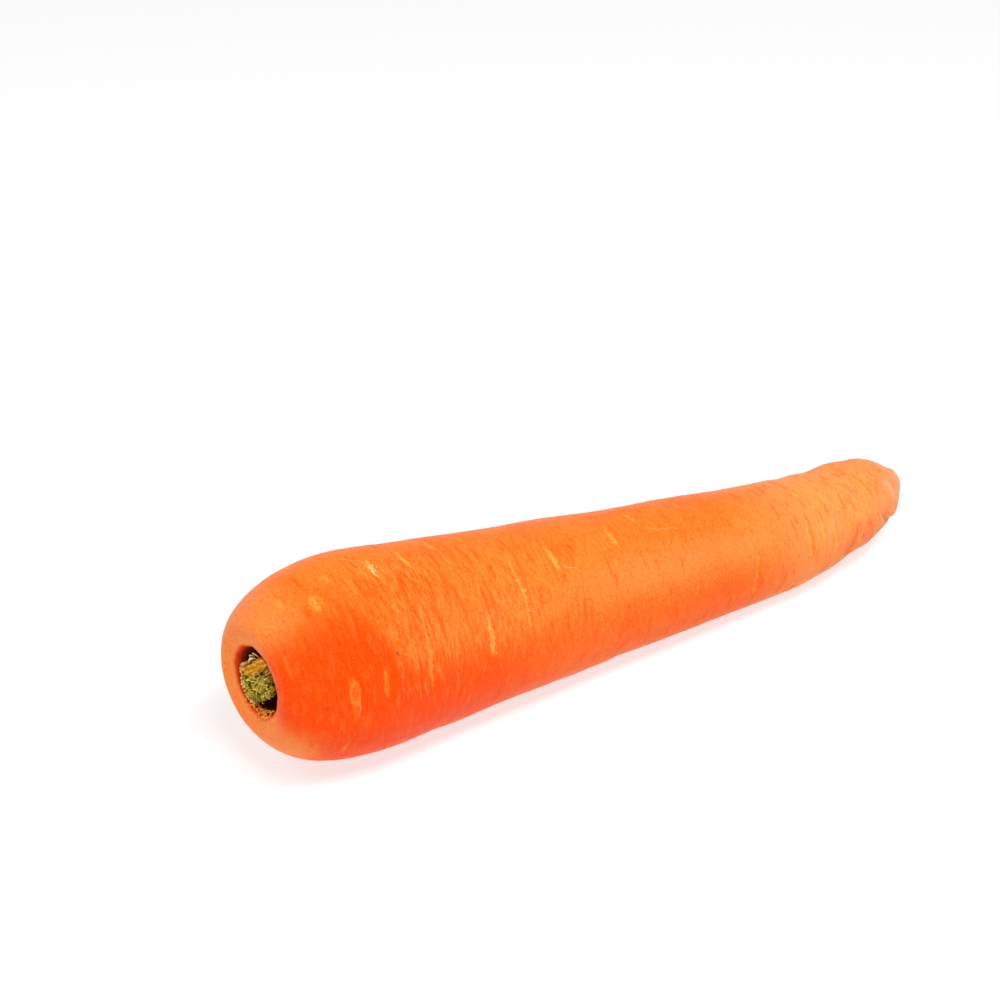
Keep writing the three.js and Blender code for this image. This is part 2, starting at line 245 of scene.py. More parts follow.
class Skin:
    """Height of the skin over its outline, and masks for its colour, on a grid of distance and angle."""

    def __init__(self, distance, angle, radius):
        self.distance, self.angle, self.radius = distance, angle, radius
        self.height = OVAL * np.cos(2 * angle + 0.6 + distance / 70)
        self.height += LOBED * np.cos(3 * angle - distance / 45)
        self.height += SWOLLEN * np.sin(distance / 5.3 + 1.4 * np.sin(angle + 0.5))
        near_tip = smooth(distance, 132, 150)
        tip_waves = np.sin(distance / 1.9 + 2.2 * np.sin(angle * 2 - 0.7))
        self.height += TIP_RELIEF * near_tip * tip_waves
        self.yellow = np.zeros_like(distance)
        self.cream = np.zeros_like(distance)
        self.fine = np.zeros_like(distance)

    def rows_near(self, at, reach):
        """The grid's rows on the outer skin within a reach of a distance from the crown."""
        rows = np.where(np.abs(self.distance[:, 0] - at) < reach)[0]
        rows = rows[self.radius[rows, 0] > 7]
        return slice(rows[0], rows[-1] + 1) if len(rows) else slice(0, 0)

    def crease(self, at, first, last, depth, width, yellow, cream, seed):
        """A root scar: a broad dent with a slit and raised lips, yellow along the slit, and a line of
        painted shade beside it.
        """
        part = self.rows_near(at, 5)
        middle, half = math.radians((first + last) / 2), math.radians((last - first) / 2)
        turn = np.abs(turn_from(self.angle[part], middle))
        along = 1 - smooth(turn, half * 0.5, half + 0.12)
        across = self.distance[part] - at - wander(self.angle[part], seed, 0.16)
        lens = np.clip(1 - (turn / (half + 0.03)) ** 2, 0.02, 1)
        slit_width = width * (0.3 + 0.4 * lens)
        inside = 1 - smooth(turn, half * 0.75, half * 1.05 + 0.02)
        slit = peak(across, slit_width) * inside
        lip = peak(np.abs(across) - 1.9 * slit_width, 0.8 * slit_width) * inside
        broad = peak(self.distance[part] - at, CREASE_WIDTH) * along
        self.height[part] -= depth * (0.5 * broad + 0.75 * slit - 0.22 * lip)
        edge = peak(across, 1.2 * slit_width) * inside
        self.yellow[part] = np.maximum(self.yellow[part], yellow * edge)
        # Painted shade: a dark line beside the slit, on its side away from the crown.
        shade = peak(across - 1.5 * slit_width, 0.7 * slit_width) * inside
        self.fine[part] = np.maximum(self.fine[part], (0.5 + depth) * shade)
        core = peak(across, 0.6 * slit_width) * lens * inside
        self.cream[part] = np.maximum(self.cream[part], cream * core)

    def nub(self):
        """The groove at the tip, and the swelling of the nub beyond it, with painted shade along the
        groove's slit.
        """
        turn = turn_from(self.angle, GROOVE_TURN)
        past = self.distance - GROOVE_AT - GROOVE_CURVE * turn**2
        side = 1 - smooth(np.abs(turn), 0.5, 0.85)
        groove = peak(past, GROOVE_WIDTH)
        slit = peak(past - wander(self.angle, 2, 0.2), 0.35)
        self.height += side * (NUB_SWELL * smooth(past, 0, 5) - GROOVE_DEPTH * groove - 0.15 * slit)
        self.yellow = np.maximum(self.yellow, 0.45 * side * peak(past + 0.9, 0.7))
        # Painted shade along the groove's slit.
        self.fine = np.maximum(self.fine, 0.5 * side * slit)
        self.nub_skin = np.maximum(side * smooth(past, 0, 1.5), smooth(self.distance, 169, 177))

    def fine_line(self, at, middle, half, depth, width, yellow, seed):
        """A short fine wrinkle across the root, darkened along its line as painted shade where it is not
        yellow.
        """
        part = self.rows_near(at, 1.6)
        turn = np.abs(turn_from(self.angle[part], middle))
        across = self.distance[part] - at - wander(self.angle[part], seed, 0.1)
        inside = 1 - smooth(turn, half * 0.4, half)
        line = peak(across, width) * inside
        self.height[part] -= depth * line
        # Painted shade along the wrinkle's line.
        self.fine[part] = np.maximum(self.fine[part], line * depth / 0.13 * (1 - yellow))
        self.yellow[part] = np.maximum(self.yellow[part], yellow * line)

    def ring_scar(self, at, middle, length, width):
        """An oval ring round a small pit, where a side root has dropped off, the pit darkened as painted
        shade.
        """
        middle = math.radians(middle)
        part = self.rows_near(at, 4)
        arc = turn_from(self.angle[part], middle) * self.radius[part]
        out = np.hypot((self.distance[part] - at) / width, arc / length)
        ring = peak(out - 1, 0.28)
        pit = peak(out, 0.45)
        self.height[part] += 0.1 * ring - 0.16 * pit
        self.yellow[part] = np.maximum(self.yellow[part], 0.6 * ring)
        # Painted shade in the pit.
        self.fine[part] = np.maximum(self.fine[part], 0.8 * pit)


def fine_lines(draw):
    """The short fine wrinkles across the root: distance, middle and half angle, depth, width and yellow."""
    regions = [
        # how many, distance from and to, angle from and to
        (60, 21, 31, 20, 82), (70, 30, 52, 0, 80), (36, 52, 74, 10, 80), (40, 74, 135, -20, 110),
        (110, 138, 174, -40, 130), (230, 9, 174, 100, 350), (30, 5, 24, 0, 120),
    ]
    for count, low, high, first, last in regions:
        for _ in range(count):
            yield (
                draw.uniform(low, high), math.radians(draw.uniform(first, last)),
                math.radians(draw.uniform(3, 15)), draw.uniform(0.04, 0.15), draw.uniform(0.26, 0.46),
                draw.uniform(0.3, 0.75) if low >= 138 and draw.random() < 0.5 else 0.0,
            )


def uneven(points):
    """Slow and quick unevenness of the skin at points in mm: one value each, about -1 to 1."""
    slow = [noise.fractal(Vector((x / 17, y / 11, z / 11)), 0.6, 2, 3) for x, y, z in points]
    quick = [noise.fractal(Vector((x / 1.5 + 31, y / 4.2, z / 4.2)), 0.7, 2, 2) for x, y, z in points]
    return np.array(slow), np.array(quick)


def bend(points):
    """Leans and shifts the crown, and bends the tip, of an array of points in the straight frame."""
    x, y, z = points[..., 0], points[..., 1], points[..., 2]
    crown = np.maximum(1 - x / CROWN_REACH, 0) ** 2
    tip = np.maximum((x - TIP_BEND_START) / (LENGTH - TIP_BEND_START), 0)
    turn_y = 2 * TIP_BEND_SIDE * tip / (LENGTH - TIP_BEND_START)
    turn_z = 2 * TIP_BEND_LIFT * tip / (LENGTH - TIP_BEND_START)
    return np.stack(
        [
            x - turn_y * y - turn_z * z - (CROWN_LEAN * z + CROWN_TURN * y) * crown,
            y + TIP_BEND_SIDE * tip**2 + CROWN_SHIFT_Y * crown,
            z + TIP_BEND_LIFT * tip**2 + CROWN_SHIFT_Z * crown,
        ],
        axis=-1,
    )


def pitched(points):
    """Points of the bent frame, tipped so that the tapering underside lies level."""
    x, y, z = points[..., 0], points[..., 1], points[..., 2]
    cos, sin = math.cos(PITCH), math.sin(PITCH)
    return np.stack([cos * x + sin * z, y, cos * z - sin * x], axis=-1)


def rounded(distance, radius, angle):
    """Points in the straight frame from distance, radius and angle."""
    return np.stack([distance, -radius * np.sin(angle), radius * np.cos(angle)], axis=-1)


def spaced(count):
    """Values of t along the outline, in steps that are shorter on the skin than in the socket."""
    steps = np.hypot(np.diff(FINE_DISTANCE), np.diff(FINE_RADIUS))
    steps *= np.where(FINE_T[1:] < RIM_T, 0.8, 1)
    run = np.concatenate([[0], np.cumsum(steps)])
    return np.interp(np.linspace(0, run[-1], count + 1), run, FINE_T)


GRID_T = spaced(RINGS)[1:-1]


def ragged_rim(distance, angle, radius):
    """How far the edge of the socket is torn outwards or inwards, in mm."""
    edge = peak(distance - 1.6, 0.9) * (1 - smooth(radius, 7.4, 8.6)) * smooth(radius, 6, 7)
    torn = [
        noise.fractal(Vector((4 * math.sin(a), 4 * math.cos(a), d)), 0.8, 2, 4)
        for a, d in zip(angle.flat, distance.flat)
    ]
    return TORN_RIM * edge * np.array(torn).reshape(angle.shape)


def make_skin():
    """The skin's masks and its points in the bent frame, both on the grid of rings and sectors."""
    distance, radius = outline_at(GRID_T)
    angle = np.linspace(0, 2 * math.pi, SECTORS, endpoint=False)
    distance, angle = np.meshgrid(distance, angle, indexing="ij")
    radius = np.repeat(radius[:, None], SECTORS, axis=1)
    skin = Skin(distance, angle, radius)
    for seed, values in enumerate(CREASES + hidden_creases()):
        skin.crease(*values, seed=1.7 * seed)
    draw = random.Random(7)
    for seed, values in enumerate(fine_lines(draw)):
        skin.fine_line(*values, seed=0.9 * seed)
    skin.ring_scar(13.7, 81, 2.3, 0.9)
    skin.ring_scar(12, 20, 1.4, 1.1)
    skin.nub()
    points = rounded(distance, radius, angle)
    slow, quick = (values.reshape(distance.shape) for values in uneven(points.reshape(-1, 3)))
    ragged = ragged_rim(distance, angle, radius)
    skin.height += SLOW_RELIEF * slow + QUICK_RELIEF * quick - LOWERED
    share = np.where(distance < LENGTH / 2, smooth(radius, 8, 12), smooth(radius, 0, 4))
    raised = radius + skin.height * share + ragged
    return skin, bend(rounded(distance, raised, angle))


skin, skin_points = make_skin()
laid = pitched(skin_points).reshape(-1, 3)
low, high = laid.min(axis=0), laid.max(axis=0)
OFFSET = np.array([-(low[0] + high[0]) / 2, -(low[1] + high[1]) / 2, -low[2] - FLAT_DEPTH])
ROOM = np.array(cad_box[1]) - np.array(cad_box[0])
FIT = ROOM / MM / (high - low - (0, 0, FLAT_DEPTH))


def place(points):
    """Bent points, in mm, to the row's frame, in metres: laid level, flats pressed, and fitted to the
    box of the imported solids, which the finer skin would otherwise miss by a hair."""
    placed = (pitched(points) + OFFSET) * FIT
    return np.clip(placed * MM, cad_box[0], cad_box[1])


def mesh_piece(name, points, faces, material, values=None):
    """A smooth mesh that rides on the root, with one float attribute for each of the values."""
    mesh = bpy.data.meshes.new(name)
    mesh.from_pydata([tuple(p) for p in points], [], faces)
    for key, value in (values or {}).items():
        attribute = mesh.attributes.new(key, "FLOAT", "POINT")
        attribute.data.foreach_set("value", np.asarray(value, np.float32).ravel())
    mesh.shade_smooth()
    mesh.materials.append(material)
    mesh.validate()
    piece = bpy.data.objects.new(name, mesh)
    scene.collection.objects.link(piece)
    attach(piece, "root")
    return piece


class Nodes:
    """A material's node tree, with short calls to add nodes to it."""

    def __init__(self, name):
        self.material = bpy.data.materials.new(name)
        self.material.use_nodes = True
        self.tree = self.material.node_tree
        self.shader = self.tree.nodes["Principled BSDF"]
        self.place = self.add("ShaderNodeTexCoord").outputs["Object"]
        self.noises = {}

    def add(self, kind, **settings):
        node = self.tree.nodes.new(kind)
        for key, value in settings.items():
            setattr(node, key, value)
        return node

    def feed(self, socket, value):
        if isinstance(value, bpy.types.NodeSocket):
            self.tree.links.new(value, socket)
        else:
            socket.default_value = value

    def shade(self, key, value):
        """Gives one of the shader's own inputs a constant or another node's output."""
        self.feed(self.shader.inputs[key], value)

    def attribute(self, name):
        return self.add("ShaderNodeAttribute", attribute_name=name).outputs["Fac"]

    def noise(self, scale, stretch=(1, 1, 1), detail=3.0, rough=0.55):
        """Noise with features of about 1 / scale metres, squeezed along each axis by stretch."""
        mapping = self.add("ShaderNodeMapping")
        self.feed(mapping.inputs["Vector"], self.place)
        mapping.inputs["Scale"].default_value = stretch
        node = self.add("ShaderNodeTexNoise")
        self.feed(node.inputs["Vector"], mapping.outputs["Vector"])
        node.inputs["Scale"].default_value = scale
        node.inputs["Detail"].default_value = detail
        node.inputs["Roughness"].default_value = rough
        return node.outputs["Fac"]

    def remap(self, value, low, high, to_low=0.0, to_high=1.0):
        """Carries a value from one range over to another, smoothly and kept within it."""
        node = self.add("ShaderNodeMapRange", interpolation_type="SMOOTHSTEP")
        names = ("Value", "From Min", "From Max", "To Min", "To Max")
        for key, number in zip(names, (value, low, high, to_low, to_high)):
            self.feed(node.inputs[key], number)
        return node.outputs["Result"]

    def math(self, operation, first, second):
        node = self.add("ShaderNodeMath", operation=operation)
        self.feed(node.inputs[0], first)
        self.feed(node.inputs[1], second)
        return node.outputs["Value"]

    def times(self, first, second):
        return self.math("MULTIPLY", first, second)

    def mix(self, factor, first, second):
        node = self.add("ShaderNodeMix", data_type="RGBA")
        self.feed(node.inputs["Factor"], factor)
        for key, colour in (("A", first), ("B", second)):
            is_socket = isinstance(colour, bpy.types.NodeSocket)
            self.feed(node.inputs[key], colour if is_socket else (*colour, 1))
        return node.outputs["Result"]

    def bump(self, height, distance, before=None):
        node = self.add("ShaderNodeBump")
        node.inputs["Strength"].default_value = 1.0
        node.inputs["Distance"].default_value = distance
        self.feed(node.inputs["Height"], height)
        if before is not None:
            self.feed(node.inputs["Normal"], before)
        return node.outputs["Normal"]


def mark_skin():
    """Masks over the skin's grid, by name: where each of the skin material's tones lies."""
    along, angle = skin.distance, skin.angle

    def spot(at, middle, long, wide):
        arc = turn_from(angle, math.radians(middle)) * skin.radius
        return np.exp(-(((along - at) / long) ** 2) - (arc / wide) ** 2)

    t = GRID_T[:, None] * np.ones((1, SECTORS))
    values = {"along": along / LENGTH, "nub": skin.nub_skin, "yellow": skin.yellow, "cream": skin.cream}
    # The fine mask is painted shade: it darkens the scars' slits, the fine wrinkles, the tip's groove and
    # the pits.
    values["fine"] = np.clip(skin.fine, 0, 1)
    values["inside"] = np.clip((RIM_T - t) / RIM_T, 0, 1)
    # The frayed rim: paler skin round the socket's edge, partly painted highlight on the edge.
    values["rim"] = peak(t - RIM_T - 0.012, 0.018)
    values["pale"] = spot(168, 57, 1.1, 2) + 0.5 * spot(163, 80, 1.2, 3) + 0.35 * spot(176, 40, 3, 5)
    values["stain"] = (
        spot(24, 64, 0.35, 0.4) + 0.8 * spot(155.4, 96, 0.3, 0.5) + 0.5 * spot(4.5, 60, 0.35, 0.5)
        + 0.45 * spot(7.5, 88, 0.5, 0.6) + 0.4 * spot(3, 40, 0.4, 0.7) + 0.5 * spot(150.3, 50, 0.4, 0.8)
    )
    # The redder flank covers the crown's -Y side, sinks to the lower flank behind the shoulder, fades along
    # the body and comes back weakly before the tip. It is partly the root's own redder tone and partly
    # painted shade on the lower flank.
    lower = smooth(along, 16, 28)
    facing = np.cos(angle - np.radians(98 + 42 * lower))
    flank = smooth(facing, -0.05 + 0.25 * lower, 0.72)
    flank *= 1 - smooth(angle, 1.75, 2.35) * (1 - smooth(along, 4, 11))
    flush_and_shade = 1 - 0.6 * smooth(along, 35, 75) - 0.4 * smooth(along, 120, 140)
    flush_and_shade += 0.15 * peak(along - 112, 20) + 0.5 * smooth(along, 130, 158)
    values["flush_and_shade"] = flank * flush_and_shade * (1 - smooth(along, 162, 175))
    # The paler tone covers the rest of the crown, and runs along the body in a band above the redder
    # flank. It is partly the skin's own paler tone and partly painted highlight.
    # Partly painted highlight: a paler band along the upper -Y side of the body.
    band = peak(angle - 1, 0.28) * smooth(along, 21, 30) * (1 - smooth(along, 115, 135))
    values["bloom_and_highlight"] = (1 - smooth(along, 2.5, 12)) * (1 - 0.97 * flank)
    values["bloom_and_highlight"] += band * (0.36 + 0.6 * smooth(along, 66, 92))
    # The skin is wrinkled most on the shoulder's upper -Y side, and again towards the tip. There the
    # wrinkles' furrows are coloured as painted shade and their ridges as painted highlight.
    window = smooth(np.cos(angle - math.radians(50)), 0.6, 0.85)
    values["wrinkled"] = 0.2 + 0.8 * window * peak(along - 30, 8)
    values["wrinkled"] += 0.35 * window * peak(along - 52, 12)
    values["wrinkled"] += 0.3 * smooth(along, 138, 155)
    return values


def root_skin():
    """The root: one closed skin from the middle of the socket's floor over the crown to the tip."""
    values = mark_skin()
    ends = np.array([[outline_at(np.array([end]))[0][0], 0, 0] for end in (0.0, 1.0)])
    points = np.concatenate([place(skin_points).reshape(-1, 3), place(bend(ends))])
    rows, first, last = len(skin_points), len(points) - 2, len(points) - 1
    faces = []
    for k in range(SECTORS):
        after = (k + 1) % SECTORS
        faces.append((first, after, k))
        faces.append((last, (rows - 1) * SECTORS + k, (rows - 1) * SECTORS + after))
        for i in range(rows - 1):
            row, below = i * SECTORS, (i + 1) * SECTORS
            faces.append((row + k, row + after, below + after, below + k))
    end_values = {key: np.concatenate([v.ravel(), [v[0, 0], v[-1, 0]]]) for key, v in values.items()}
    piece = mesh_piece("root_skin", points, faces, skin_material(), end_values)
    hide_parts("taproot")
    return piece


def on_skin(distance, angle, lift=0.0):
    """A point on the outer skin in the bent frame, in mm, and its outward direction."""
    outer = np.where(GRID_T > RIM_T)[0]
    rows = skin.distance[outer, 0]
    row = np.interp(distance, rows, np.arange(len(outer)))
    low = int(min(row, len(outer) - 2))
    turn = (angle / (2 * math.pi) * SECTORS) % SECTORS
    k = int(turn)

    def corner(i, j):
        return skin_points[outer[low + i], (k + j) % SECTORS]

    u, v = row - low, turn - k
    a, b, c, d = corner(0, 0), corner(0, 1), corner(1, 0), corner(1, 1)
    point = (1 - u) * ((1 - v) * a + v * b) + u * ((1 - v) * c + v * d)
    out = np.cross(b - a + d - c, c - a + d - b)
    out /= np.linalg.norm(out)
    return point + out * lift, out


class Strands:
    """Thin round strands that end up in one mesh."""

    def __init__(self, sides=8):
        self.sides, self.points, self.faces = sides, [], []

    def add(self, path, radii, flat=1.0, up=(1, 0, 0)):
        """One strand along a path, with a radius at each point, flattened towards up."""
        path = np.asarray(path, float)
        count, start = len(path), len(self.points)
        radii = np.broadcast_to(radii, count)
        for i in range(count):
            run = path[min(i + 1, count - 1)] - path[max(i - 1, 0)]
            run /= np.linalg.norm(run)
            side = np.cross(run, up)
            if np.linalg.norm(side) < 1e-3:
                side = np.cross(run, (0, 1, 0.3))
            side /= np.linalg.norm(side)
            over = np.cross(side, run)
            for k in range(self.sides):
                turn = 2 * math.pi * k / self.sides
                outward = math.cos(turn) * side + flat * math.sin(turn) * over
                self.points.append(path[i] + radii[i] * outward)
        for i in range(count - 1):
            row, below = start + i * self.sides, start + (i + 1) * self.sides
            for k in range(self.sides):
                after = (k + 1) % self.sides
                self.faces.append((row + k, row + after, below + after, below + k))
        ends = len(self.points)
        self.points += [path[0], path[-1]]
        last = start + (count - 1) * self.sides
        for k in range(self.sides):
            after = (k + 1) % self.sides
            self.faces.append((ends, start + after, start + k))
            self.faces.append((ends + 1, last + k, last + after))

    def piece(self, name, material, slot, finish=None):
        """The strands as one piece, their points carried to the bent frame by finish if given."""
        points = np.array(self.points)
        if finish is not None:
            points = finish(points)
        piece = mesh_piece(name, place(points), self.faces, material)
        return piece


def rootlet_threads():
    """Fine dry rootlets that lie on the skin."""
    strands = Strands()
    draw = random.Random(3)
    for start, end, thick in (
        ((22.3, -5), (26.2, 5), 0.07), ((69, 37), (73.1, 45), 0.07), ((94.3, 21), (102.6, 29), 0.06),
        ((57.6, 60), (59.4, 66), 0.07), ((14.6, 84), (14.4, 96), 0.07), ((41, 215), (46, 222), 0.08),
        ((88, 160), (93, 152), 0.07), ((118, 250), (124, 262), 0.08), ((66, 300), (70, 311), 0.08),
    ):
        path, phase = [], draw.uniform(0, 6)
        for share in np.linspace(0, 1, 22):
            swing = math.sin(7 * share + phase) * (1 - share) * share
            distance = start[0] + (end[0] - start[0]) * share + 0.9 * swing
            angle = math.radians(start[1] + (end[1] - start[1]) * share - 4 * swing)
            path.append(on_skin(distance, angle, 0.03)[0])
        strands.add(path, thick * np.sin(np.linspace(0.5, 2.95, 22)) ** 0.6)
    return strands.piece("rootlet_threads", thread_material(), "root_skin")


def scar_crumbs():
    """Crumbs of pale dry skin along the rougher scars."""
    draw = random.Random(11)
    strands = Strands(sides=6)
    for values in CREASES:
        at, first, last, cream = values[0], values[1], values[2], values[6]
        for _ in range(int(cream * 22)):
            share = draw.betavariate(2, 2)
            angle = math.radians(first + (last - first) * share)
            distance = at + draw.gauss(0, 0.28) + wander(angle, 0, 0.1)
            size = draw.uniform(0.07, 0.17)
            point, out = on_skin(distance, angle, -0.25 * size)
            along = np.cross(out, (1, 0, 0)) * math.cos(draw.uniform(-0.7, 0.7))
            along += np.array([1, 0, 0]) * draw.uniform(-0.6, 0.6)
            steps = np.linspace(-1, 1, 6)
            path = [point + along * size * 1.7 * s + out * size * draw.uniform(0, 0.4) for s in steps]
            strands.add(path, size * np.sqrt(np.clip(1.05 - steps**2, 0.08, 1)), 0.7)
    return strands.piece("scar_crumbs", crumb_material(), "root_skin")


def closed_curve(corners, steps):
    """A smooth closed curve through the corners."""
    corners = np.array(corners, float)
    found = []
    for i in range(len(corners)):
        a, b, c, d = (corners[(i + k - 1) % len(corners)] for k in range(4))
        square, cube = 2 * a - 5 * b + 4 * c - d, 3 * b - a - 3 * c + d
        for u in np.arange(steps) / steps:
            found.append(0.5 * (2 * b + (c - a) * u + square * u**2 + cube * u**3))
    return np.array(found)


def prism(section, top):
    """Points and faces of an upright prism, in mm: right, up, and height over the stalks' foot."""
    outline = closed_curve(section, 4)
    count = len(outline)
    points = [(u, v, 0) for u, v in outline] + [(u, v, STALK_FOOT - top) for u, v in outline]
    faces = [tuple(range(count)), tuple(range(2 * count - 1, count - 1, -1))]
    faces += [(k, count + k, count + (k + 1) % count, (k + 1) % count) for k in range(count)]
    return points, faces


def remeshed(prisms, voxel):
    """Joins prisms into one even mesh. Returns its points, quads and outward directions."""
    mesh = bpy.data.meshes.new("block")
    points, faces = [], []
    for more_points, more_faces in prisms:
        faces += [tuple(len(points) + i for i in face) for face in more_faces]
        points += more_points
    mesh.from_pydata(points, [], faces)
    block = bpy.data.objects.new("block", mesh)
    scene.collection.objects.link(block)
    modifier = block.modifiers.new("even", "REMESH")
    modifier.mode = "VOXEL"
    modifier.voxel_size = voxel
    even = bpy.data.meshes.new_from_object(block.evaluated_get(bpy.context.evaluated_depsgraph_get()))
    points = np.zeros(len(even.vertices) * 3)
    even.vertices.foreach_get("co", points)
    points = points.reshape(-1, 3)
    out = np.array([vertex.normal[:] for vertex in even.vertices])
    faces = [tuple(polygon.vertices) for polygon in even.polygons]
    bpy.data.objects.remove(block)
    bpy.data.meshes.remove(even)
    bpy.data.meshes.remove(mesh)
    return points, faces, out


OPEN_RADIUS = socket_radius(SOCKET_OPEN_DEPTH) - GAP


def in_socket(points):
    """Points over the stalks' foot (right, up, height) to the bent frame, narrowed as the socket is."""
    depth = STALK_FOOT - points[..., 2]
    narrow = np.minimum(1, (socket_radius(depth) - GAP) / OPEN_RADIUS)
    return bend(np.stack([depth, -points[..., 0] * narrow, points[..., 1] * narrow], axis=-1))


def field(points, scale, seed, octaves=3):
    """Fractal noise at points, with features of about scale in their own units: one value each."""
    start = Vector((seed, 0, 0))
    return np.array([noise.fractal(Vector(p) / scale + start, 0.6, 2, octaves) for p in points])


def slanted(points):
    """Heights over the stalks' foot with the tops sloping as they are torn, deeper towards -Y."""
    rise = np.clip(points[:, 2] / (STALK_FOOT - GREEN_TOP), 0, 1)
    return np.clip(points[:, 2] - SLANT * points[:, 0] * rise, 0.02, STALK_FOOT - 1.1)


def held_in_socket(points):
    """Points over the stalks' foot to the bent frame, sloping and narrowed as the stalks are."""
    points = points.copy()
    points[:, 2] = slanted(points)
    return in_socket(points)


def loose_in_socket(points):
    """Points over the stalks' foot to the bent frame, not narrowed, for what lies on the wall."""
    points = points.copy()
    points[:, 2] = np.clip(points[:, 2], 0.02, STALK_FOOT - 1)
    depth = STALK_FOOT - points[..., 2]
    return bend(np.stack([depth, -points[..., 0], points[..., 1]], axis=-1))


def stalk_piece(name, prisms, shape_surface, material, slot, node):
    """A stump of the leaf stalks: its prisms joined, with a surface shaped by a function of its own."""
    points, faces, out = remeshed(prisms, STALK_VOXEL)
    points, values = shape_surface(points, out)
    piece = mesh_piece(name, place(held_in_socket(points)), faces, material, values)
    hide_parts(node)
    return piece


def ochre_surface(points, out):
    """Shiny ridges along the band, a torn white edge at its lower left, and a cut top that dips."""
    u, v, z = points.T
    run, across = 0.8 * u + 0.6 * v, 0.8 * v - 0.6 * u
    top = STALK_FOOT - OCHRE_TOP
    rise = smooth(z, 0.5, top - 0.6)
    rough = field(points, 1.1, 3)
    ridges = np.sin(across * 6 + 0.8 * np.sin(run * 1.3) + 1.4 * rough + 0.8 * field(points, 0.6, 12, 2))
    torn = smooth(-run, 2.6, 4.6)
    moved = points + out * ((0.07 * ridges + 0.2 * rough) * rise)[:, None]
    facing = smooth(out[:, 2], 0.2, 0.9) * smooth(z, top - 1.5, top - 0.3)
    dip = smooth(run, -4, -1) * smooth(-run, -5.5, -1.5) * peak(across - 1.6, 1.1)
    frayed = 0.45 * torn * np.abs(np.sin(across * 7))
    moved[:, 2] -= facing * (0.55 * dip + 0.5 * np.abs(field(points, 0.8, 9)) + frayed)
    return moved, {"ridge": ridges * 0.5 + 0.5, "torn": torn * facing, "height": z / top}


def brown_surface(points, out):
    """Dry fibres that fan out to the right, broken off at uneven heights."""
    u, v, z = points.T
    fan = np.arctan2(v - 0.7, u - 0.8)
    top = STALK_FOOT - BROWN_TOP
    rise = smooth(z, 0.5, top - 0.4)
    rough = field(points, 0.9, 5)
    ridges = np.sin(fan * 30 + 1.6 * rough)
    moved = points + out * ((0.12 * ridges + 0.14 * rough) * rise)[:, None]
    facing = smooth(out[:, 2], 0.2, 0.9)
    moved[:, 2] -= facing * (0.25 + 0.35 * ridges + 0.5 * np.abs(field(points, 0.7, 2)))
    return moved, {"ridge": ridges * 0.5 + 0.5, "torn": facing, "height": z / top}


def green_surface(points, out):
    """A soft, lumpy, fibrous mass with ribs on its sides and a torn top."""
    u, v, z = points.T
    angle, out_from = np.arctan2(v + 2, u), np.hypot(u, v + 2)
    rough = field(points, 1.3, 1)
    fine = field(points, 0.5, 8, 2)
    ribs = np.sin(angle * 17 + 1.5 * rough)
    rise = smooth(z, 0.5, 2)
    facing = smooth(out[:, 2], 0.1, 0.8) * smooth(z, 1, 2.5)
    sideways = (1 - facing) * rise
    moved = points + out * (sideways * (0.13 * ribs + 0.12 * rough))[:, None]
    moved[:, 2] += facing * (0.75 * rough + 0.35 * fine - 0.3 - 0.12 * np.cos(out_from * 4))
    ridge = np.clip(0.5 + 0.5 * ribs * sideways + 0.6 * fine, 0, 1)
    return moved, {"ridge": ridge, "torn": facing, "height": z / 4.7}


def sheath_surface(points, out):
    """A thin papery skin, frayed at its top."""
    u, v, z = points.T
    angle = np.arctan2(v, u)
    rough = field(points, 0.8, 6)
    facing = smooth(z, 3, 5)
    moved = points + out * (0.1 * rough + 0.05 * np.sin(angle * 60))[:, None]
    fray = np.clip(0.5 + 1.1 * field(points * (1, 1, 0.2), 0.55, 4) + 0.2 * np.sin(angle * 43), 0, 1)
    moved[:, 2] -= facing * (0.8 * fray**2 + 0.35 * np.abs(rough))
    lean = 0.25 * facing * rough
    moved[:, 0] += lean * u / 6
    moved[:, 1] += lean * v / 6
    return moved, {"ridge": fray, "torn": facing, "height": z / 5}


def green_fibres(draw):
    """A tangle of thin curled strands over the green stalk bases, each between two of the corners."""
    strands = Strands(sides=7)
    corners = [
        (4.8, 0.8), (4.2, -0.8), (2.9, -2.1), (1.1, -3.8), (-0.4, -4.7), (-2.1, -4.7), (-3.6, -3.8),
        (-4.3, -2.2), (-4.3, -1.1), (-2.4, -0.8), (-1.1, 0.1), (0.3, 1.3), (1.6, 1.7), (2.9, 1.2),
    ]
    for _ in range(GREEN_FIBRES):
        a, b = draw.sample(corners, 2)
        mix = draw.uniform(0.15, 0.85)
        u, v = a[0] + (b[0] - a[0]) * mix, a[1] + (b[1] - a[1]) * mix
        heading = draw.uniform(0, 2 * math.pi)
        length, curl = draw.uniform(1, 2.6), draw.uniform(-1.3, 1.3)
        thick = draw.uniform(0.07, 0.15)
        base = STALK_FOOT - draw.uniform(2.2, 2.9)
        path = []
        for share in np.linspace(0, 1, 16):
            swing = heading + curl * (share - 0.5) * 2
            u += math.cos(swing) * length / 16
            v += math.sin(swing) * length / 16
            held = min(1, FIBRE_REACH / math.hypot(u, v))
            u, v = u * held, v * held
            lift = draw.uniform(-0.02, 0.02) + 0.45 * math.sin(math.pi * share)
            path.append((u, v, base + lift))
        strands.add(path, thick * np.sin(np.linspace(0.35, 2.8, 16)) ** 0.5, 0.7, (0, 0, 1))
    material = fibre_material("green_fibre", (0.42, 0.31, 0.008), (0.92, 0.76, 0.16))
    return strands.piece("green_fibres", material, "green_stalk", held_in_socket)


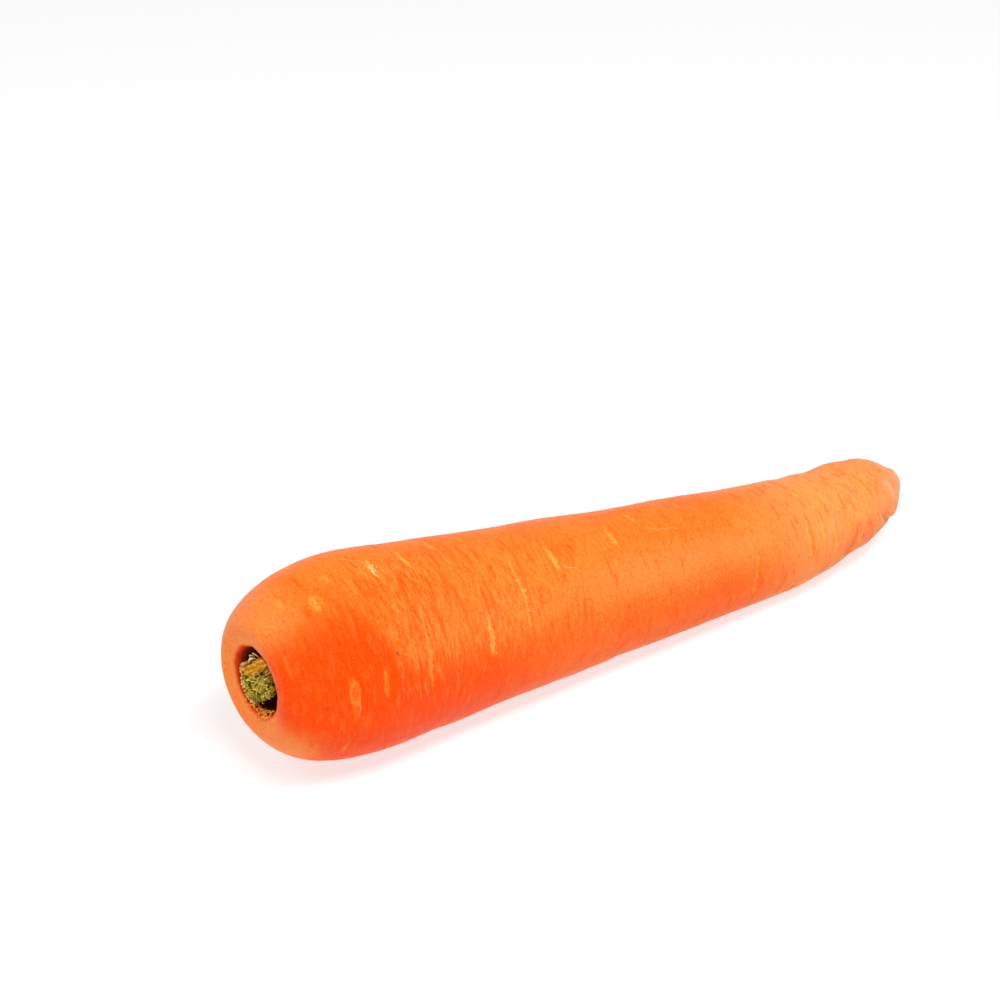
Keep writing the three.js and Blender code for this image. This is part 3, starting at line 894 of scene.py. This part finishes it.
def brown_fibres(draw):
    """Dry strands that fan out over the brown stalk base."""
    strands = Strands(sides=7)
    for _ in range(BROWN_FIBRES):
        fan = math.radians(draw.uniform(18, 62))
        start, end = draw.uniform(1.9, 2.8), draw.uniform(4, 4.9)
        height = STALK_FOOT - draw.uniform(2.4, 3)
        path = []
        for share in np.linspace(0, 1, 12):
            reach = start + (end - start) * share
            bow = 0.12 * math.sin(5 * share + fan * 9)
            turn = fan + bow / reach
            rise = 0.5 * math.sin(math.pi * share)
            path.append((0.8 + reach * math.cos(turn), 0.7 + reach * math.sin(turn), height + rise))
        thick = draw.uniform(0.09, 0.17)
        strands.add(path, thick * np.sin(np.linspace(0.4, 2.8, 12)) ** 0.5, 0.8, (0, 0, 1))
    material = fibre_material("brown_fibre", (0.22, 0.1, 0.005), (0.7, 0.42, 0.08))
    return strands.piece("brown_fibres", material, "brown_stalk", held_in_socket)


def rim_shreds(draw):
    """Ragged bits of dry skin and pith along the lower rim of the socket."""
    strands = Strands(sides=7)
    for _ in range(RIM_SHREDS):
        turn = math.radians(draw.triangular(128, 238, 165))
        depth = draw.uniform(1.2, 3.4)
        wall = float(np.interp(depth, (1, 1.5, 2.1, 4.1), (8.4, 7.7, 7.15, 6.8)))
        reach = wall - draw.uniform(0, 0.25)
        u, v = reach * math.sin(turn), reach * math.cos(turn)
        heading = draw.uniform(0, math.pi)
        length, curl = draw.uniform(0.25, 0.75), draw.uniform(-0.3, 0.3)
        path = []
        for share in np.linspace(-1, 1, 7):
            slide, rise = length * share * math.cos(heading), length * share * math.sin(heading)
            closer = 0.25 * (1 - share**2) + curl * share
            path.append((
                u + slide * math.cos(turn) - closer * math.sin(turn),
                v - slide * math.sin(turn) - closer * math.cos(turn),
                STALK_FOOT - depth + rise,
            ))
        thick = draw.uniform(0.09, 0.2)
        strands.add(path, thick * np.sin(np.linspace(0.5, 2.7, 7)), 0.6, (0, 0, 1))
    material = fibre_material("shreds", (0.9, 0.2, 0.008), (0.95, 0.5, 0.06))
    return strands.piece("rim_shreds", material, "dry_sheath", loose_in_socket)


def flakes(draw):
    """Pale curled flakes in the hollow above the ochre stalk base."""
    strands = Strands(sides=7)
    for start, end, wide in (
        ((-2.6, 3.1), (-1.1, 4.5), 0.26), ((-1.2, 5.9), (0.3, 5.5), 0.2),
        ((-2.3, 4.3), (-1.3, 5), 0.15),
    ):
        path, wide_at = [], []
        for share in np.linspace(0, 1, 14):
            curl = 0.35 * math.sin(math.pi * share)
            u = start[0] + (end[0] - start[0]) * share - curl + draw.uniform(-0.05, 0.05)
            v = start[1] + (end[1] - start[1]) * share + curl + draw.uniform(-0.05, 0.05)
            path.append((u, v, 4.7 + 0.5 * math.sin(2.4 * share + 4 * wide) - 0.25 * share))
            wide_at.append(wide * math.sin(0.35 + 2.5 * share) * draw.uniform(0.75, 1.1))
        strands.add(path, np.array(wide_at), 0.35, (0, 0.3, 1))
    material = fibre_material("flake", (0.75, 0.42, 0.1), (1, 0.82, 0.48))
    return strands.piece("flakes", material, "dry_sheath", loose_in_socket)


def skin_textures(nodes):
    """The noises that the skin's tones and its finest relief share."""
    return {
        "cloudy": nodes.noise(55, (1, 1.2, 1.2), 3),
        "patches": nodes.noise(130, (1, 0.7, 0.7), 3),
        "streaks": nodes.noise(1000, (1, 0.2, 0.2), 4, 0.65),
        "wrinkles": nodes.noise(1500, (1, 0.22, 0.22), 3, 0.6),
        "pores": nodes.noise(1500, (1, 0.7, 0.7), 4, 0.75),
        "grain": nodes.noise(2400, (1, 0.5, 0.5), 3, 0.6),
        "peel": nodes.noise(3300, (1, 0.8, 0.8), 2, 0.6),
    }


def root_tones(nodes):
    """The broad tones of the root: orange, paler towards the tip; paler over the crown and in a band
    along the upper body, partly its own tone and partly painted highlight; and redder on its lower
    flank, partly its own tone and partly painted shade."""
    clouds = nodes.remap(nodes.noises["cloudy"], 0.32, 0.68)
    colour = nodes.mix(clouds, (1, 0.165, 0.008), (1, 0.212, 0.018))
    colour = nodes.mix(nodes.remap(nodes.attribute("along"), 0.62, 0.82), colour, (1, 0.35, 0.09))
    # Redder and darker on the lower flank: partly the root's own tone, partly painted shade.
    colour = nodes.mix(nodes.attribute("flush_and_shade"), colour, (1, 0.062, 0.0))
    # Paler over the crown and along the upper body: partly the skin's own tone, partly painted highlight.
    return nodes.mix(nodes.times(nodes.attribute("bloom_and_highlight"), 0.5), colour, (1, 0.325, 0.095))


def add_streaks(nodes, colour):
    """Pale and deep streaks that run across the root, stronger towards the tip."""
    streaks, patches = nodes.noises["streaks"], nodes.noises["patches"]
    patchy = nodes.remap(patches, 0.4, 0.65, 0.05, 0.5)
    pale = nodes.times(nodes.remap(streaks, 0.52, 0.7), patchy)
    colour = nodes.mix(pale, colour, (1, 0.28, 0.022))
    towards_tip = nodes.remap(nodes.attribute("along"), 0.72, 0.88, 0.0, 0.5)
    at_tip = nodes.times(nodes.remap(streaks, 0.46, 0.66), towards_tip)
    colour = nodes.mix(at_tip, colour, (1, 0.46, 0.13))
    patchy = nodes.remap(patches, 0.6, 0.35, 0.05, 0.3)
    deep = nodes.times(nodes.remap(streaks, 0.46, 0.32), patchy)
    return nodes.mix(deep, colour, (1, 0.06, 0.0))


def add_pores(nodes, colour):
    """Small light and dark dots, the light ones weaker on the redder flank with its painted shade."""
    pores, peel = nodes.noises["pores"], nodes.noises["peel"]
    clear = nodes.remap(nodes.attribute("flush_and_shade"), 0.1, 0.8, 1.0, 0.25)
    light = nodes.times(nodes.remap(pores, 0.53, 0.62, 0.0, 0.35), clear)
    colour = nodes.mix(light, colour, (1, 0.29, 0.04))
    colour = nodes.mix(nodes.remap(pores, 0.45, 0.35, 0.0, 0.5), colour, (0.95, 0.07, 0.0))
    light = nodes.times(nodes.remap(peel, 0.52, 0.66, 0.0, 0.5), clear)
    colour = nodes.mix(light, colour, (1, 0.33, 0.075))
    return nodes.mix(nodes.remap(peel, 0.47, 0.34, 0.0, 0.4), colour, (0.95, 0.08, 0.0))


def add_wrinkles(nodes, colour):
    """Dark furrows and pale ridges where the skin is wrinkled, which are painted shade and painted
    highlight on the wrinkles' relief, and dark fine lines of painted shade.
    """
    wrinkles, wrinkled = nodes.noises["wrinkles"], nodes.attribute("wrinkled")
    furrows = nodes.times(nodes.remap(wrinkles, 0.48, 0.4), wrinkled)
    ridges = nodes.times(nodes.remap(wrinkles, 0.54, 0.62), wrinkled)
    # Painted shade in the wrinkles' furrows, and painted highlight on their ridges.
    colour = nodes.mix(nodes.times(furrows, 0.5), colour, (0.9, 0.08, 0.0))
    colour = nodes.mix(nodes.times(ridges, 0.4), colour, (1, 0.36, 0.1))
    # Painted shade along the scars' slits, the fine wrinkles, the tip's groove and the pits.
    return nodes.mix(nodes.times(nodes.attribute("fine"), 0.5), colour, (0.95, 0.065, 0.0))


def add_marks(nodes, colour, yellow):
    """Yellow and cream scars, the pinkish nub, pale patches, the frayed rim, which is partly painted
    highlight on the socket's edge, and dark stains.
    """
    grain = nodes.noises["grain"]
    colour = nodes.mix(nodes.times(yellow, 0.9), colour, (1, 0.47, 0.06))
    cream = nodes.times(nodes.attribute("cream"), nodes.remap(grain, 0.42, 0.58, 0.1, 1.0))
    colour = nodes.mix(cream, colour, (1, 0.7, 0.3))
    colour = nodes.mix(nodes.times(nodes.attribute("nub"), 0.45), colour, (1, 0.3, 0.13))
    colour = nodes.mix(nodes.attribute("pale"), colour, (1, 0.42, 0.22))
    # The pale frayed rim of the socket, partly painted highlight.
    frayed = nodes.times(nodes.attribute("rim"), nodes.remap(grain, 0.4, 0.65, 0.0, 0.5))
    colour = nodes.mix(frayed, colour, (1, 0.34, 0.07))
    return nodes.mix(nodes.attribute("stain"), colour, (0.28, 0.03, 0.01))


def add_socket_shade(nodes, colour, inside):
    """The socket's wall, darkened as painted shade in the hollow: red at its edge, then brown, and nearly
    black at its floor.
    """
    colour = nodes.mix(nodes.remap(inside, 0.0, 0.14), colour, (0.85, 0.05, 0.002))
    colour = nodes.mix(nodes.remap(inside, 0.12, 0.34), colour, (0.13, 0.02, 0.004))
    return nodes.mix(nodes.remap(inside, 0.34, 0.7), colour, (0.015, 0.007, 0.004))


def skin_bumps(nodes):
    """The finest relief, too small for the mesh: streaks, wrinkles, pores, peel and grain."""
    noises = nodes.noises
    wrinkles = nodes.times(noises["wrinkles"], nodes.attribute("wrinkled"))
    normal = nodes.bump(noises["streaks"], 0.0003)
    normal = nodes.bump(wrinkles, 0.0007, before=normal)
    normal = nodes.bump(noises["pores"], 0.0002, before=normal)
    normal = nodes.bump(noises["peel"], 0.00012, before=normal)
    return nodes.bump(noises["grain"], 0.0001, before=normal)


def skin_material():
    """Fresh carrot skin: translucent orange, faintly streaked across, with yellow scars."""
    nodes = Nodes("carrot_skin")
    nodes.noises = skin_textures(nodes)
    patchy = nodes.remap(nodes.noises["grain"], 0.35, 0.6, 0.25, 1.0)
    yellow = nodes.times(nodes.attribute("yellow"), patchy)
    inside = nodes.attribute("inside")
    colour = add_pores(nodes, add_streaks(nodes, root_tones(nodes)))
    colour = add_marks(nodes, add_wrinkles(nodes, colour), yellow)
    nodes.shade("Base Color", add_socket_shade(nodes, colour, inside))
    dry = nodes.times(nodes.math("ADD", yellow, inside), 0.22)
    rough = nodes.remap(nodes.noises["cloudy"], 0.3, 0.7, 0.3, 0.4)
    nodes.shade("Roughness", nodes.math("ADD", rough, dry))
    nodes.shade("Normal", skin_bumps(nodes))
    translucent(nodes, 0.12, (1, 0.12, 0.03), 0.0015)
    nodes.shade("Specular IOR Level", 0.06)
    nodes.shade("Specular Tint", (1, 0.72, 0.32, 1))
    return nodes.material


def translucent(nodes, weight, radius, scale):
    """Lets light a little way into a material."""
    nodes.shade("Subsurface Weight", weight)
    nodes.shade("Subsurface Radius", radius)
    nodes.shade("Subsurface Scale", scale)


def thread_material():
    """Dry rootlets: pale orange."""
    nodes = Nodes("rootlets")
    tone = nodes.remap(nodes.noise(900), 0.3, 0.7)
    nodes.shade("Base Color", nodes.mix(tone, (1, 0.3, 0.06), (1, 0.52, 0.18)))
    nodes.shade("Roughness", 0.55)
    translucent(nodes, 0.2, (1, 0.4, 0.1), 0.0006)
    return nodes.material


def crumb_material():
    """Crumbs of dry skin: cream."""
    nodes = Nodes("crumbs")
    tone = nodes.remap(nodes.noise(1500), 0.3, 0.7)
    nodes.shade("Base Color", nodes.mix(tone, (1, 0.45, 0.1), (1, 0.76, 0.4)))
    nodes.shade("Roughness", 0.7)
    return nodes.material


def fibre_material(name, dark, light):
    """Dry plant fibre in two mixed tones."""
    nodes = Nodes(name)
    tone = nodes.remap(nodes.noise(700, (1, 1, 1), 3), 0.32, 0.68)
    nodes.shade("Base Color", nodes.mix(tone, dark, light))
    nodes.shade("Roughness", 0.6)
    nodes.shade("Specular IOR Level", 0.15)
    nodes.shade("Normal", nodes.bump(nodes.noise(5000, (1, 1, 1), 2), 0.00004))
    return nodes.material


def stalk_material(name, foot, low, high, torn, roughness):
    """Cut leaf stalk: dark at its foot as painted shade down in the socket, two tones on its ridges, and
    paler where it is torn.
    """
    nodes = Nodes(name)
    blotches = nodes.noise(650, (1, 1, 1), 4)
    fibres = nodes.noise(2600, (1, 1, 0.6), 3)
    ridge = nodes.attribute("ridge")
    tone = nodes.times(ridge, nodes.remap(blotches, 0.3, 0.65, 0.4, 1.1))
    colour = nodes.mix(tone, low, high)
    pale = nodes.times(nodes.attribute("torn"), nodes.remap(fibres, 0.45, 0.65, 0.0, 0.75))
    colour = nodes.mix(pale, colour, torn)
    # Painted shade: darker towards the foot, down in the socket.
    colour = nodes.mix(nodes.remap(nodes.attribute("height"), 0.75, 0.2), colour, foot)
    nodes.shade("Base Color", colour)
    nodes.shade("Roughness", roughness)
    nodes.shade("Normal", nodes.bump(fibres, 0.00012))
    nodes.shade("Specular IOR Level", 0.15)
    nodes.shade("Specular Tint", (1, 0.85, 0.5, 1))
    return nodes.material


def floor():
    """The plain pale surface that the carrot lies on, bright enough to fade into the background."""
    mesh = bpy.data.meshes.new("floor")
    sides = ((-1, -1), (1, -1), (1, 1), (-1, 1))
    mesh.from_pydata([(x * FLOOR_REACH, y * FLOOR_REACH, 0) for x, y in sides], [], [(0, 1, 2, 3)])
    nodes = Nodes("floor")
    nodes.shade("Base Color", (FLOOR_GREY, FLOOR_GREY, FLOOR_GREY, 1))
    nodes.shade("Roughness", 1.0)
    nodes.shade("Specular IOR Level", 0.0)
    nodes.shade("Emission Color", (1, 1, 1, 1))
    nodes.shade("Emission Strength", FLOOR_GLOW)
    mesh.materials.append(nodes.material)
    piece = bpy.data.objects.new("floor", mesh)
    scene.collection.objects.link(piece)


def light(name, at, target, size, power):
    """A soft rectangular lamp, turned to its target."""
    lamp = bpy.data.lights.new(name, "AREA")
    lamp.shape = "RECTANGLE"
    lamp.size, lamp.size_y = size
    lamp.energy = power
    holder = bpy.data.objects.new(name, lamp)
    holder.location = at
    holder.rotation_euler = (Vector(target) - Vector(at)).to_track_quat("-Z", "Y").to_euler()
    scene.collection.objects.link(holder)


def studio():
    """Soft light from all sides, a wide lamp overhead and a weak one on the crown."""
    world = bpy.data.worlds.new("studio")
    world.use_nodes = True
    sky = world.node_tree.nodes["Background"].inputs
    sky["Color"].default_value = (1, 1, 1, 1)
    sky["Strength"].default_value = SKY
    scene.world = world
    light("overhead", (0.0, -0.45, 0.85), (0, 0, 0), (0.6, 0.22), 8)
    light("crown_side", (-0.7, 0.3, 0.7), (-0.04, 0, 0.02), (0.5, 0.5), 2)
    scene.view_settings.view_transform = "Standard"


def camera():
    """The photograph's viewpoint."""
    view = bpy.data.objects.new("view", bpy.data.cameras.new("view"))
    view.data.lens = CAMERA_LENS
    view.data.sensor_width = 36
    view.data.clip_start = 0.01
    view.location = CAMERA_AT
    view.rotation_euler = (math.radians(90 - CAMERA_ELEVATION), 0, math.radians(CAMERA_AZIMUTH))
    scene.collection.objects.link(view)
    scene.camera = view


def stalk_stumps():
    """What is left of the leaf stalks in the socket, and of their dry sheath."""
    stumps = [
        # piece, node, slot, material, sections with their tops, surface,
        # tones of the foot, which are painted shade, the furrows, the ridges and the torn top, roughness
        # The green's dark furrow tone is partly painted shade beneath its loose strands.
        (
            "green_stalks", "green_stalk_bases", "green_stalk", "green_stalk",
            [(GREEN_PLATE, PLATE_TOP), (GREEN_STALK, GREEN_TOP), (GREEN_HEART, HEART_TOP)], green_surface,
            (0.02, 0.01, 0.002), (0.07, 0.045, 0.002), (0.6, 0.43, 0.012), (0.85, 0.65, 0.1), 0.6,
        ),
        (
            "ochre_stalk", "ochre_stalk_base", "ochre_stalk", "ochre_stalk",
            [(OCHRE_STALK, OCHRE_TOP)], ochre_surface,
            (0.08, 0.02, 0.004), (0.62, 0.2, 0.002), (1, 0.52, 0.02), (1, 0.9, 0.55), 0.32,
        ),
        (
            "brown_stalk", "brown_stalk_base", "brown_stalk", "brown_stalk",
            [(BROWN_STALK, BROWN_TOP)], brown_surface,
            (0.03, 0.012, 0.004), (0.16, 0.07, 0.004), (0.55, 0.3, 0.03), (0.66, 0.4, 0.07), 0.65,
        ),
        (
            "paper_sheath", "dry_sheath", "dry_sheath", "paper_sheath",
            [(SHEATH, SHEATH_TOP)], sheath_surface,
            (0.3, 0.1, 0.01), (0.65, 0.36, 0.05), (1, 0.7, 0.25), (1, 0.88, 0.52), 0.7,
        ),
    ]
    for name, node, slot, material, sections, surface, *tones, roughness in stumps:
        prisms = [prism(section, top) for section, top in sections]
        stalk_piece(name, prisms, surface, stalk_material(material, *tones, roughness), slot, node)


def loose_strands():
    """The fibres, shreds and flakes in the socket, all from one seeded draw."""
    draw = random.Random(21)
    green_fibres(draw)
    brown_fibres(draw)
    rim_shreds(draw)
    flakes(draw)


root_skin()
rootlet_threads()
scar_crumbs()
stalk_stumps()
loose_strands()
floor()
studio()
camera()
